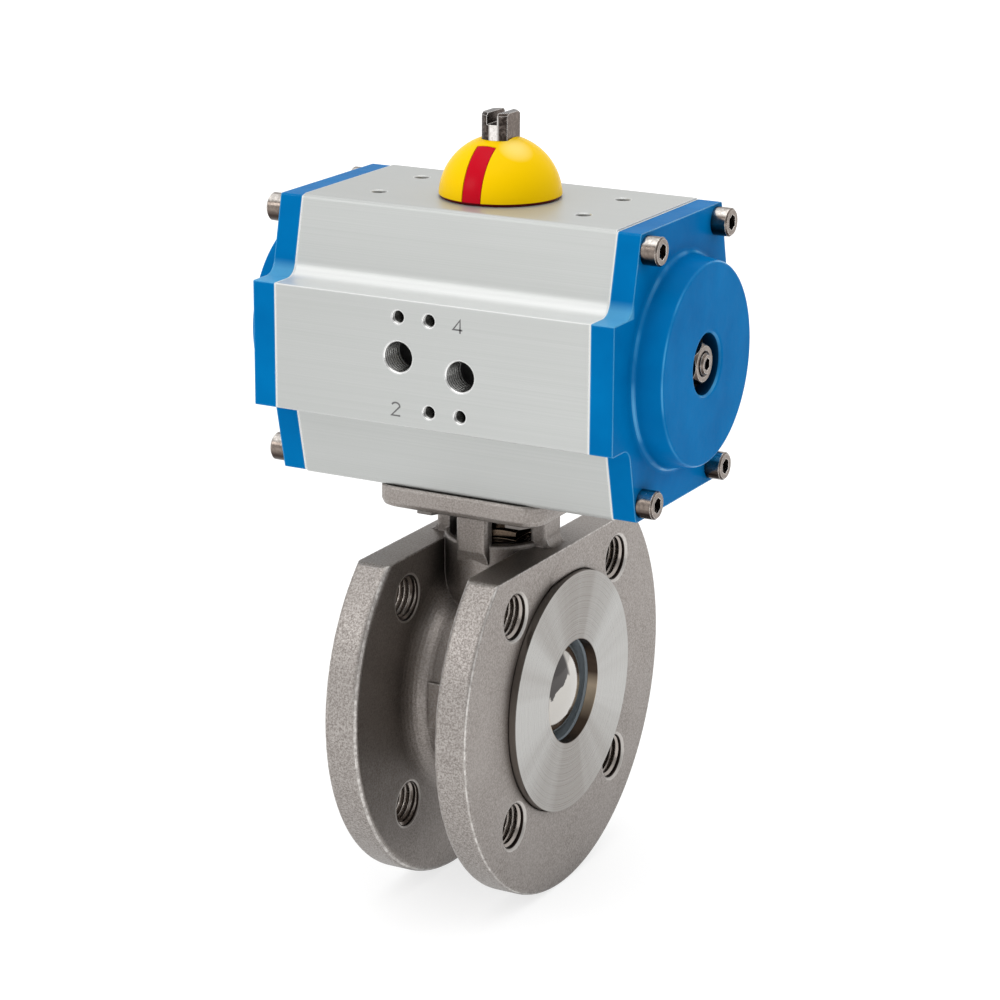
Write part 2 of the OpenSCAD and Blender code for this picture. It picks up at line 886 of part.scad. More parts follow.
// One rack tooth, pointing to +Y, with its centre line at x
module rack_tooth(x) {
  lean = tan(pressure_angle);
  half = tooth_pitch / 4 - backlash / 4;
  tip = -pitch_r + gear_module;
  root = -pitch_r - 1.25 * gear_module - 0.1;
  outline = [
    [x - half - lean * (-pitch_r - root), root], [x + half + lean * (-pitch_r - root), root],
    [x + half - lean * gear_module, tip], [x - half + lean * gear_module, tip]
  ];
  translate([0, 0, -rack_half_h]) linear_extrude(2 * rack_half_h) polygon(outline);
}

// The +X piston at rest, with its rack on the -Y side of the pinion
module piston() {
  root_y = -pitch_r - 1.25 * gear_module;
  difference() {
    union() {
      rod_x(piston_in, piston_out, piston_r);
      translate([-arm_end, -rack_back, -rack_half_h])
        cube([arm_end + piston_in + 2, rack_back + root_y, 2 * rack_half_h]);
    }
    tube_x(piston_in + 2, piston_in + 7, piston_r + 1, piston_r - 2);
    tube_x(piston_out - 5, piston_out - 1.6, piston_r + 1, piston_r - 3);
  }
  for (k = [-3:3])
    rack_tooth(k * tooth_pitch);
}

module piston_left() {
  color("#b4b6b8") piston_side(true) piston();
}

module piston_right() {
  color("#b4b6b8") piston_side(false) piston();
}

module piston_o_ring() {
  section = (cyl_r - running - (piston_r - 3)) / 2;
  translate([piston_out - 3.3, 0, 0]) along_x() torus(piston_r - 3 + section, section);
}

module piston_o_ring_left() {
  color("#1b1b1d") piston_side(true) piston_o_ring();
}

module piston_o_ring_right() {
  color("#1b1b1d") piston_side(false) piston_o_ring();
}

module piston_guide_ring_left() {
  color("#d9cfa8") piston_side(true) tube_x(piston_in + 2.1, piston_in + 6.9, cyl_r - running, piston_r - 2);
}

module piston_guide_ring_right() {
  color("#d9cfa8") piston_side(false) tube_x(piston_in + 2.1, piston_in + 6.9, cyl_r - running, piston_r - 2);
}

// Pad behind the rack that slides on the cylinder wall
module rack_pad() {
  pad_half_h = 9;
  intersection() {
    rod_x(-14, 14, cyl_r - running);
    translate([-14, -cyl_r, -pad_half_h]) cube([28, cyl_r - rack_back, 2 * pad_half_h]);
  }
}

module rack_pad_left() {
  color("#d9cfa8") piston_side(true) rack_pad();
}

module rack_pad_right() {
  color("#d9cfa8") piston_side(false) rack_pad();
}

// Outline of one pinion tooth about direction a
function tooth_points(a) =
  let (
    radii = [for (i = [0:4]) base_r + 0.05 + (tip_r - base_r - 0.05) * i / 4],
    low = [for (r = radii) r * [cos(a - tooth_half(r)), sin(a - tooth_half(r))]],
    high = [for (r = reversed(radii)) r * [cos(a + tooth_half(r)), sin(a + tooth_half(r))]],
    foot = tooth_half(radii[0])
  )
  concat(
    [root_r * [cos(a - foot), sin(a - foot)]], low, high, [root_r * [cos(a + foot), sin(a + foot)]]
  );

module pinion_gear() {
  outline = [for (k = [0:pinion_teeth - 1]) each tooth_points((k + 0.5) * tooth_angle)];
  translate([0, 0, act_mid - gear_half_h]) linear_extrude(2 * gear_half_h) polygon(outline);
}

module o_ring_groove(z, r_in, r_out) {
  tube_z(z - o_ring_groove_h / 2, z + o_ring_groove_h / 2, r_out, r_in);
}

// Round end of the shaft with its chamfer, before the flats
module shaft_end() {
  low = shaft_step_z - 1;
  rotate_extrude() polygon([
    [0, low], [shaft_r, low], [shaft_r, shaft_top - shaft_chamfer],
    [shaft_r - shaft_chamfer, shaft_top], [0, shaft_top]
  ]);
}

module pinion() {
  shaft_bottom = pad_top + 0.4;
  socket = stem_square + 0.1;
  color("#87817b") on_stem() difference() {
    union() {
      rod_z(shaft_bottom, journal_low_top, journal_low_r);
      rod_z(journal_low_top - 0.5, act_mid - gear_half_h + 0.5, waist_r);
      pinion_gear();
      rod_z(act_mid + gear_half_h - 0.5, shaft_step_z, journal_top_r);
      intersection() {
        shaft_end();
        translate([-shaft_flat, -shaft_r, shaft_step_z - 1]) cube([2 * shaft_flat, 2 * shaft_r, shaft_top]);
      }
    }
    translate([-socket / 2, -socket / 2, shaft_bottom - 1]) cube([socket, socket, stem_top + 2 - shaft_bottom]);
    o_ring_groove(o_ring_low_z, journal_low_r - groove_drop, journal_low_r + 1);
    o_ring_groove(o_ring_top_z, journal_top_r - groove_drop, journal_top_r + 1);
    tube_z(steel_washer_top, circlip_top + 0.1, journal_top_r + 1, circlip_groove_r);
    translate([-shaft_slot_w / 2, -shaft_r - 1, shaft_top - shaft_slot_d])
      cube([shaft_slot_w, 2 * shaft_r + 2, shaft_slot_d + 1]);
  }
}

module pinion_bearing_top() {
  color("#e6dfc4") on_stem()
    tube_z(o_ring_top_z + 2, act_top - 0.5, bearing_top_r, journal_top_r + running);
}

module pinion_bearing_bottom() {
  color("#e6dfc4") on_stem()
    tube_z(act_base + ring_depth + 0.3, o_ring_low_z - 2, bearing_low_r, journal_low_r + running);
}

module pinion_o_ring_top() {
  color("#1b1b1d") on_stem() translate([0, 0, o_ring_top_z])
    torus(bearing_top_r - running - o_ring_r, o_ring_r);
}

module pinion_o_ring_bottom() {
  color("#1b1b1d") on_stem() translate([0, 0, o_ring_low_z])
    torus(bearing_low_r - running - o_ring_r, o_ring_r);
}

module thrust_washer() {
  color("#e6dfc4") on_stem() tube_z(act_top, thrust_washer_top, washer_r, journal_top_r + running);
}

module steel_washer() {
  color("#8f8c88") on_stem() tube_z(thrust_washer_top + loose, steel_washer_top, washer_r, journal_top_r + 0.02);
}

module circlip() {
  opening_w = 6;
  color("#3a3a3c") on_stem() difference() {
    tube_z(steel_washer_top, circlip_top, journal_top_r + 2.4, circlip_groove_r);
    translate([0, -opening_w / 2, steel_washer_top - 1]) cube([30, opening_w, 4]);
  }
}

// Opening that fits the flats of the shaft
module shaft_hole(gap) {
  intersection() {
    rod_z(dome_z, dome_z + 30, shaft_r + gap);
    translate([-shaft_flat - gap, -20, dome_z]) cube([2 * (shaft_flat + gap), 40, 30]);
  }
}

// Half ball shell standing on the plane z = foot
module half_shell(outer, inner, foot) {
  difference() {
    translate([0, 0, dome_z]) difference() {
      sphere(r = outer, $fn = 128);
      sphere(r = inner, $fn = 128);
    }
    rod_z(dome_z - 40, foot, 40);
  }
}

module stripe_space(gap) {
  half = stripe_w / 2 + gap;
  for (side = [0, 180])
    rotate([0, 0, side]) translate([-half, -dome_r - 1, dome_foot - 1])
      cube([2 * half, dome_r + 1 - stripe_end_y + gap, 30]);
}

module indicator_base() {
  color("#c2121f") on_stem() difference() {
    union() {
      tube_z(act_top + 0.3, dome_foot, base_ring_r, core_r - core_wall);
      half_shell(core_r, core_r - core_wall, dome_foot - 0.1);
      intersection() {
        half_shell(dome_r - 0.1, core_r - 0.5, dome_foot - 0.1);
        stripe_space(-stripe_gap);
      }
    }
    shaft_hole(0.05);
  }
}

module indicator_dome() {
  color("#ffd400") on_stem() difference() {
    half_shell(dome_r, dome_r - dome_wall, dome_foot);
    stripe_space(stripe_gap);
    shaft_hole(0.12);
  }
}

valve_body();
body_insert();
insert_gasket();
ball();
seat_inlet();
seat_outlet();
stem();
stem_thrust_washer();
stem_packing();
gland_ring();
disc_springs();
lock_washer();
gland_nut();
lock_nut();
centring_ring();
mounting_bolts();
mounting_washers();
actuator_body();
end_cap_left();
end_cap_right();
cap_gasket_left();
cap_gasket_right();
cap_screws_left();
cap_screws_right();
stop_screw_left();
stop_screw_right();
stop_nut_left();
stop_nut_right();
stop_seal_left();
stop_seal_right();
piston_left();
piston_right();
piston_o_ring_left();
piston_o_ring_right();
piston_guide_ring_left();
piston_guide_ring_right();
rack_pad_left();
rack_pad_right();
pinion();
pinion_bearing_top();
pinion_bearing_bottom();
pinion_o_ring_top();
pinion_o_ring_bottom();
thrust_washer();
steel_washer();
circlip();
indicator_base();
indicator_dome();
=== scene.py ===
"""Looks of the pneumatic actuated ball valve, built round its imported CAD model."""

import json
import math

import bpy
from mathutils import Matrix, Vector


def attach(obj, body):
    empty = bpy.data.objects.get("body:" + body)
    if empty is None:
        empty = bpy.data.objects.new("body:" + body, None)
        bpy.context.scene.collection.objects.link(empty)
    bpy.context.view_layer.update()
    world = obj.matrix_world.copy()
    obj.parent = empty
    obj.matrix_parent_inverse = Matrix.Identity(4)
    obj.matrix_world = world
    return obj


MM = 0.001

# Places in the shared frame: the pipe's axis is X, the drive axis is upright at STEM_X.
STEM_X = 31 * MM
FLOOR_Z = -75 * MM
NECK_TOP_Z = 60 * MM
ACT_MID_Z = 127.1 * MM
LEDGE_Z = 149 * MM
ACT_TOP_Z = 177.45 * MM
FRONT_Y = -50.5 * MM
LEDGE_BACK_Y = -35.5 * MM
OUTLET_X = 62 * MM

# Flanges and bore
FLANGE_R = 75 * MM
RAISED_R = 44 * MM
BORE_R = 19 * MM
FLANGE_FACE = 28.1 * MM
FLANGE_HOLE_R = 8 * MM
HOLE_REACH = 55 * MM * math.cos(math.radians(45))

# Holes in the actuator's body, with places in millimetres from the middle of its front or top
PORTS = ((-12, 2), (12, -2))
PORT_R = 5.72 * MM
SMALL_HOLES = ((-12, 16), (0, 16), (0, -16), (12, -16))
SMALL_R = 2.5 * MM
SMALL_PITCH = 0.8 * MM
SMALL_RIDGE = 0.36 * MM
TOP_HOLES = tuple((x, y) for x in (-40, 40) for y in (-15, 15))

# Stage
FLOOR_ALBEDO = 0.35
FLOOR_GLOW = (0.74, 0.84)
FLOOR_HALF = 8.0
WORLD_BASE = 0.90
LIGHT_TARGET = (STEM_X, 0, 0.09)
CAMERA_AT = (0.5501, -0.9603, 0.3961)
CAMERA_ANGLES = (28.37, 16.78, 0.34)
CAMERA_LENS = 114.9

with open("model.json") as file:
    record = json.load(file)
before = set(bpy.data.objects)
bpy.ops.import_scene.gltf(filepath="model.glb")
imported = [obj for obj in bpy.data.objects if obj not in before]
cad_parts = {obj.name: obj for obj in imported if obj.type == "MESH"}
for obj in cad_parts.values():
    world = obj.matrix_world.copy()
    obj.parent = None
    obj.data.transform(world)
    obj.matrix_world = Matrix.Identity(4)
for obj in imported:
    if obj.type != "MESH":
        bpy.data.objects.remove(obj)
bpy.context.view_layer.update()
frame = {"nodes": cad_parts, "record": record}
nodes = frame["nodes"]


# ---------------------------------------------------------------- materials

class Shader:
    """A Principled material with helpers that add procedural nodes to it."""

    def __init__(self, name, color, roughness, metallic=0.0, **constants):
        self.mat = bpy.data.materials.new(name)
        self.mat.use_nodes = True
        self.tree = self.mat.node_tree
        self.bsdf = self.tree.nodes["Principled BSDF"]
        self.bsdf.inputs["Base Color"].default_value = (*color, 1)
        self.bsdf.inputs["Roughness"].default_value = roughness
        self.bsdf.inputs["Metallic"].default_value = metallic
        for key, value in constants.items():
            self.bsdf.inputs[key.replace("_", " ")].default_value = value
        self.normal = None
        self.mat.diffuse_color = (*color, 1)

    def node(self, kind, **settings):
        made = self.tree.nodes.new(kind)
        for key, value in settings.items():
            setattr(made, key, value)
        return made

    def link(self, source, target):
        self.tree.links.new(source, target)

    def place(self, scale=(1, 1, 1)):
        """Object coordinates, in metres, multiplied by a scale for each axis."""
        coords = self.node("ShaderNodeTexCoord")
        mapping = self.node("ShaderNodeMapping")
        mapping.inputs["Scale"].default_value = scale
        self.link(coords.outputs["Object"], mapping.inputs["Vector"])
        return mapping.outputs["Vector"]

    def math(self, operation, a, b=None):
        made = self.node("ShaderNodeMath", operation=operation)
        for socket, value in zip(made.inputs, (a, b)):
            if value is None:
                continue
            if hasattr(value, "links"):
                self.link(value, socket)
            else:
                socket.default_value = value
        return made.outputs[0]

    def noise(self, scale, detail=3.0, rough=0.55, stretch=(1, 1, 1)):
        """Noise over the object, finer along an axis whose stretch is above 1."""
        made = self.node("ShaderNodeTexNoise")
        made.inputs["Scale"].default_value = scale
        made.inputs["Detail"].default_value = detail
        made.inputs["Roughness"].default_value = rough
        self.link(self.place(stretch), made.inputs["Vector"])
        return made.outputs["Fac"]

    def spread(self, value, low, high, from_low=0.3, from_high=0.7):
        """The value stretched from one range to another."""
        made = self.node("ShaderNodeMapRange")
        self.link(value, made.inputs["Value"])
        for key, number in (("From Min", from_low), ("From Max", from_high),
                            ("To Min", low), ("To Max", high)):
            made.inputs[key].default_value = number
        return made.outputs["Result"]

    def axis(self, letter):
        """One of the object's coordinates, in metres."""
        parts = self.node("ShaderNodeSeparateXYZ")
        self.link(self.place(), parts.inputs[0])
        return parts.outputs[letter]

    def times(self, a, b):
        return self.math("MULTIPLY", a, b)

    def between(self, value, start, full, fade, end):
        """0 up to the start, 1 from full to fade, and 0 again from the end on."""
        return self.times(self.spread(value, 0, 1, start, full),
                          self.spread(value, 1, 0, fade, end))

    def length(self, a, b):
        """Length of a vector with two parts."""
        return self.math("SQRT", self.math("ADD", self.times(a, a), self.times(b, b)))

    def radius(self):
        """Distance from the pipe axis."""
        return self.length(self.axis("Y"), self.axis("Z"))

    def facing(self, direction, low, high):
        """From 0 to 1 as the surface turns towards a direction of the object."""
        coords = self.node("ShaderNodeTexCoord")
        dot = self.node("ShaderNodeVectorMath", operation="DOT_PRODUCT")
        self.link(coords.outputs["Normal"], dot.inputs[0])
        dot.inputs[1].default_value = Vector(direction).normalized()
        return self.spread(dot.outputs["Value"], 0, 1, low, high)

    def glint(self, scale, least):
        """1 on round edges that turn from a side to an end, broken up by noise."""
        coords = self.node("ShaderNodeTexCoord")
        parts = self.node("ShaderNodeSeparateXYZ")
        self.link(coords.outputs["Normal"], parts.inputs[0])
        tilt = self.math("ABSOLUTE", parts.outputs["X"])
        band = self.between(tilt, 0.46, 0.60, 0.78, 0.90)
        return self.times(band, self.spread(self.noise(scale, 2), least, 1, 0.42, 0.62))

    def ledge(self):
        """1 on the ledge above the port band and on the fillet behind it."""
        high = self.between(self.axis("Z"), LEDGE_Z, LEDGE_Z + 0.3 * MM,
                            LEDGE_Z + 2.5 * MM, LEDGE_Z + 6 * MM)
        ahead = self.spread(self.axis("Y"), 1, 0, LEDGE_BACK_Y - 1.5 * MM, LEDGE_BACK_Y)
        return self.times(high, ahead)

    def near(self, a, b, places, radius):
        """1 inside circles about the places, on the two coordinates a and b."""
        best = 0.0
        for at_a, at_b in places:
            gap = self.length(self.math("SUBTRACT", a, at_a), self.math("SUBTRACT", b, at_b))
            best = self.math("MAXIMUM", self.spread(gap, 1, 0, radius, radius + 0.15 * MM), best)
        return best

    def mix_color(self, factor, first, second):
        made = self.node("ShaderNodeMix", data_type="RGBA")
        self.link(factor, made.inputs["Factor"])
        for socket, value in ((made.inputs["A"], first), (made.inputs["B"], second)):
            if hasattr(value, "links"):
                self.link(value, socket)
            else:
                socket.default_value = (*value, 1)
        return made.outputs["Result"]

    def color(self, socket):
        self.link(socket, self.bsdf.inputs["Base Color"])

    def roughness(self, socket):
        self.link(socket, self.bsdf.inputs["Roughness"])

    def soften(self, radius):
        """Rounds the edges in the shading."""
        bevel = self.node("ShaderNodeBevel", samples=6)
        bevel.inputs["Radius"].default_value = radius
        self.normal = bevel.outputs["Normal"]
        self.link(self.normal, self.bsdf.inputs["Normal"])

    def shade(self, distance, darkest):
        """Painted shade: a colour factor from the given darkness in corners and hollows to 1 in the
        open.
        """
        made = self.node("ShaderNodeAmbientOcclusion", samples=6)
        made.inputs["Distance"].default_value = distance
        return self.spread(made.outputs["AO"], darkest, 1, 0.25, 0.85)

    def dim(self, color, factor):
        """The colour times a factor."""
        made = self.node("ShaderNodeVectorMath", operation="SCALE")
        self.link(color, made.inputs[0])
        self.link(factor, made.inputs["Scale"])
        return made.outputs["Vector"]

    def edge(self, radius):
        """From 0 on flat stretches to 1 on edges."""
        bevel = self.node("ShaderNodeBevel", samples=6)
        bevel.inputs["Radius"].default_value = radius
        flat = self.node("ShaderNodeNewGeometry")
        dot = self.node("ShaderNodeVectorMath", operation="DOT_PRODUCT")
        self.link(bevel.outputs["Normal"], dot.inputs[0])
        self.link(flat.outputs["Normal"], dot.inputs[1])
        return self.spread(dot.outputs["Value"], 1, 0, 0.90, 0.995)

    def outer_edge(self, radius):
        """1 on edges that stick out, 0 in corners."""
        around = self.node("ShaderNodeAmbientOcclusion", samples=8)
        around.inputs["Distance"].default_value = 4 * radius
        sticks_out = self.spread(around.outputs["AO"], 0, 1, 0.70, 0.88)
        return self.times(self.edge(radius), sticks_out)

    def bump(self, height, distance, strength):
        """Raises the surface in the shading, on top of what earlier calls did."""
        made = self.node("ShaderNodeBump")
        made.inputs["Strength"].default_value = strength
        made.inputs["Distance"].default_value = distance
        self.link(height, made.inputs["Height"])
        if self.normal is not None:
            self.link(self.normal, made.inputs["Normal"])
        self.normal = made.outputs["Normal"]
        self.link(self.normal, self.bsdf.inputs["Normal"])


def cast_steel():
    """Blasted casting: coarser and lighter on the flange rims, the lighter colour a painted sheen;
    edges lightened partly by wear and partly by painted highlights and glints; painted shade in the
    bolt holes, in hollows and towards the bottom.
    """
    s = Shader("cast_steel", (0.24, 0.21, 0.19), 0.5, 1.0)
    grain = s.noise(1500, 3, 0.65)
    base = s.mix_color(s.spread(s.noise(40, 4), 0, 1), (0.215, 0.188, 0.170), (0.290, 0.262, 0.244))
    speckled = s.mix_color(s.spread(grain, 0, 1, 0.35, 0.65), base, (0.36, 0.33, 0.308))
    # The rims' coarser grain is real; their lighter colour is a painted sheen.
    rim_grain_and_sheen = s.mix_color(s.spread(grain, 0, 1, 0.36, 0.64),
                            (0.23, 0.205, 0.19), (0.47, 0.44, 0.415))
    under_pad = s.spread(s.axis("Z"), 1, 0, NECK_TOP_Z - 4 * MM, NECK_TOP_Z)
    on_rim = s.spread(s.radius(), 0, 0.8, FLANGE_R - 2.0 * MM, FLANGE_R - 0.4 * MM)
    rim = s.mix_color(s.times(on_rim, under_pad), speckled, rim_grain_and_sheen)
    # Painted glints on the round edges of the flange rims.
    far_out = s.spread(s.radius(), 0, 1, FLANGE_R - 5 * MM, FLANGE_R - 3 * MM)
    glint = s.times(s.times(far_out, under_pad), s.glint(420, 0.30))
    # Edges lightened partly by wear and partly as a painted highlight.
    rubbed_and_lit = s.times(s.outer_edge(1.0 * MM), s.spread(s.noise(700, 3), 0.25, 1, 0.40, 0.58))
    edged = s.mix_color(s.math("MAXIMUM", rubbed_and_lit, glint), rim, (0.74, 0.71, 0.68))
    y, z = (s.math("ABSOLUTE", s.axis(letter)) for letter in "YZ")
    holes = [(HOLE_REACH, HOLE_REACH)]
    in_chamfer = s.near(y, z, holes, FLANGE_HOLE_R + 0.95 * MM)
    in_hole = s.near(y, z, holes, FLANGE_HOLE_R + 0.15 * MM)
    chamfered = s.mix_color(in_chamfer, edged, (0.60, 0.57, 0.54))
    # Painted shade down the bolt holes; the chamfers keep their lighter machined colour.
    holes_shaded = s.mix_color(in_hole, chamfered, (0.030, 0.022, 0.018))
    # Painted shade: darker towards the bottom.
    low = s.dim(holes_shaded, s.spread(s.axis("Z"), 0.76, 1, -72 * MM, -5 * MM))
    # Painted shade in corners and hollows.
    s.color(s.dim(low, s.shade(14 * MM, 0.50)))
    s.roughness(s.spread(grain, 0.50, 0.34))
    s.soften(0.9 * MM)
    s.bump(s.noise(1900, 3, 0.6), 0.12 * MM, 0.8)
    s.bump(s.noise(150, 3), 0.35 * MM, 0.5)
    return s.mat


def turned_steel():
    """Turned face with a painted sheen whose brightness swings with the angle, round a bore in
    painted shade with a band of painted reflection.
    """
    s = Shader("turned_steel", (0.50, 0.49, 0.47), 0.30, 1.0, Anisotropic=0.6)
    tangent = s.node("ShaderNodeTangent", direction_type="RADIAL", axis="X")
    s.link(tangent.outputs["Tangent"], s.bsdf.inputs["Tangent"])
    radius = s.radius()
    across, up = (s.math("DIVIDE", s.axis(letter), radius) for letter in "YZ")
    spoke = s.node("ShaderNodeCombineXYZ")
    s.link(across, spoke.inputs["X"])
    s.link(up, spoke.inputs["Y"])
    wedge = s.node("ShaderNodeTexNoise")
    wedge.inputs["Scale"].default_value = 2.6
    wedge.inputs["Detail"].default_value = 3
    s.link(spoke.outputs["Vector"], wedge.inputs["Vector"])
    # Painted sheen: the brightness swings with the angle round the pipe axis.
    upright = s.spread(s.times(up, up), 0.30, -0.25, 0, 1)
    sheen_swing = s.math("ADD", upright, wedge.outputs["Fac"])
    face = s.mix_color(s.spread(sheen_swing, 0, 1, 0.25, 0.80),
                       (0.245, 0.226, 0.208), (0.415, 0.410, 0.394))
    lines = s.node("ShaderNodeTexNoise", noise_dimensions="1D")
    lines.inputs["Scale"].default_value = 1600
    lines.inputs["Detail"].default_value = 2
    s.link(radius, lines.inputs["W"])
    ring = lines.outputs["Fac"]
    turned = s.mix_color(s.spread(ring, 0, 0.16), face, (0.75, 0.74, 0.72))
    # The bore: painted shade, with a band of painted reflection.
    glow = s.between(s.axis("Z"), -15 * MM, -9 * MM, -4 * MM, 1 * MM)
    bore = s.mix_color(glow, (0.085, 0.062, 0.048), (0.55, 0.46, 0.36))
    in_bore = s.spread(radius, 1, 0, BORE_R + 0.05 * MM, BORE_R + 0.35 * MM)
    side = s.times(s.spread(radius, 0, 1, RAISED_R - 0.2 * MM, RAISED_R - 0.05 * MM),
                   s.spread(s.axis("X"), 1, 0, OUTLET_X - 0.4 * MM, OUTLET_X - 0.2 * MM))
    s.color(s.mix_color(side, s.mix_color(in_bore, turned, bore), (0.26, 0.235, 0.215)))
    s.roughness(s.spread(ring, 0.26, 0.34))
    s.soften(0.25 * MM)
    s.bump(ring, 0.012 * MM, 0.4)
    return s.mat


def anodised():
    """Brushed extrusion with painted highlights on its edges and ledge, painted light a little
    stronger towards +X, and painted shade down its holes.
    """
    s = Shader("anodised", (0.54, 0.55, 0.54), 0.42, 0.6, Specular_IOR_Level=0.3)
    line = s.noise(1, 3, 0.6, (6, 2600, 2600))
    patch = s.noise(30, 3, 0.5, (0.3, 1, 1))
    base = s.mix_color(s.spread(line, 0, 1), (0.480, 0.494, 0.480), (0.530, 0.540, 0.530))
    # Painted light: a little lighter towards +X.
    base = s.dim(base, s.spread(s.axis("X"), 0.985, 1.07, -20 * MM, 85 * MM))
    base = s.mix_color(s.spread(patch, 0, 0.25), base, (0.462, 0.472, 0.458))
    # Painted highlight along the edges.
    edged = s.mix_color(s.edge(0.7 * MM), base, (0.86, 0.87, 0.86))
    x, z = s.axis("X"), s.axis("Z")
    depth = s.math("SUBTRACT", s.axis("Y"), FRONT_Y)
    front = s.between(depth, 0.10 * MM, 0.45 * MM, 13 * MM, 14 * MM)
    ports, small = ([(STEM_X + a * MM, ACT_MID_Z + b * MM) for a, b in places]
                    for places in (PORTS, SMALL_HOLES))
    in_port = s.times(front, s.near(x, z, ports, PORT_R + 0.18 * MM))
    in_small = s.times(front, s.near(x, z, small, SMALL_R + 0.10 * MM))
    top = s.near(x, s.axis("Y"), [(STEM_X + a * MM, b * MM) for a, b in TOP_HOLES],
                 SMALL_R + 0.10 * MM)
    in_top = s.times(top, s.spread(z, 0, 1, ACT_TOP_Z - 10 * MM, ACT_TOP_Z - 9 * MM))
    # Painted shade deeper down the ports and small holes, and in the top holes.
    port_wall_shaded = s.mix_color(s.spread(depth, 0, 1, 10.6 * MM, 11.6 * MM),
                       (0.44, 0.44, 0.43), (0.03, 0.03, 0.03))
    inner = s.mix_color(s.spread(depth, 0, 1, 0.8 * MM, 1.8 * MM),
                        (0.50, 0.50, 0.49), (0.022, 0.022, 0.022))
    holes_shaded = s.mix_color(in_port, edged, port_wall_shaded)
    holes_shaded = s.mix_color(in_small, holes_shaded, inner)
    holes_shaded = s.mix_color(in_top, holes_shaded, (0.30, 0.30, 0.29))
    # Painted highlight on the ledge and the fillet behind it.
    s.color(s.mix_color(s.ledge(), holes_shaded, (0.74, 0.75, 0.74)))
    s.roughness(s.spread(line, 0.39, 0.45))
    s.soften(0.5 * MM)
    s.bump(line, 0.005 * MM, 0.25)
    return s.mat


def blue_paint():
    """Thick paint: lighter with painted highlights and glints on its edges and a painted highlight
    on the ledge, glossier on its edges, and with painted shade in the stop's recess and in hollows.
    """
    s = Shader("blue_paint", (0.0, 0.150, 0.43), 0.28, 0.0, Specular_IOR_Level=0.010,
               Coat_Roughness=0.10)
    # Painted highlights and glints on the edges, where the coat also adds real gloss.
    edge = s.math("MAXIMUM", s.outer_edge(0.7 * MM), s.glint(45, 0.15))
    cloud = s.mix_color(s.spread(s.noise(45, 3), 0, 1), (0.0, 0.138, 0.385), (0.0, 0.172, 0.455))
    edged = s.mix_color(edge, cloud, (0.06, 0.38, 0.72))
    # Painted highlight on the ledge and its fillet.
    highlighted = s.mix_color(s.times(s.ledge(), 0.4), edged, (0.20, 0.60, 0.85))
    # Painted shade in the stop's recess, and below it painted shade in hollows.
    recess = s.near(s.axis("Y"), s.axis("Z"), [(0, ACT_MID_Z)], 10.7 * MM)
    s.color(s.dim(s.mix_color(recess, highlighted, (0.0, 0.030, 0.085)), s.shade(10 * MM, 0.60)))
    s.link(s.times(edge, 0.9), s.bsdf.inputs["Coat Weight"])
    s.soften(0.9 * MM)
    s.bump(s.noise(90, 2, 0.4), 0.5 * MM, 0.4)
    s.bump(s.noise(520, 2), 0.10 * MM, 0.35)
    return s.mat


def plain_metal(name, color, roughness):
    s = Shader(name, color, roughness, 1.0)
    s.roughness(s.spread(s.noise(700, 3), roughness - 0.06, roughness + 0.06))
    s.soften(0.25 * MM)
    s.bump(s.noise(1200, 2), 0.02 * MM, 0.3)
    return s.mat


def thread_aluminium():
    """Thread in the small front holes, in painted shade from two millimetres down."""
    s = Shader("thread_aluminium", (0.4, 0.4, 0.39), 0.28, 1.0)
    deep = s.spread(s.axis("Y"), 0, 1, FRONT_Y + 1.0 * MM, FRONT_Y + 2.2 * MM)
    s.color(s.mix_color(deep, (0.66, 0.66, 0.65), (0.045, 0.045, 0.042)))
    s.roughness(s.spread(s.noise(700, 3), 0.22, 0.34))
    return s.mat


def painted_light_metal(name, base, dark, light, shine_from, edge):
    """Bright metal with painted light: lightest where it faces one way, in painted shade underneath
    and in hollows, and with painted highlights on its edges.
    """
    s = Shader(name, base, 0.2, 1.0)
    # Painted shade underneath and a painted highlight where it faces shine_from.
    shaded = s.mix_color(s.facing((0, 0, -1), 0.0, 0.45), base, dark)
    lit = s.mix_color(s.facing(shine_from, 0.90, 0.975), shaded, light)
    rough = s.mix_color(s.spread(s.noise(900, 3), 0, 0.5), lit, dark)
    # Painted highlights on the edges and painted shade in hollows.
    s.color(s.dim(s.mix_color(s.edge(edge), rough, light), s.shade(4 * MM, 0.30)))
    s.roughness(s.spread(s.noise(700, 3), 0.14, 0.28))
    s.soften(edge)
    s.bump(s.noise(1200, 2), 0.02 * MM, 0.3)
    return s.mat


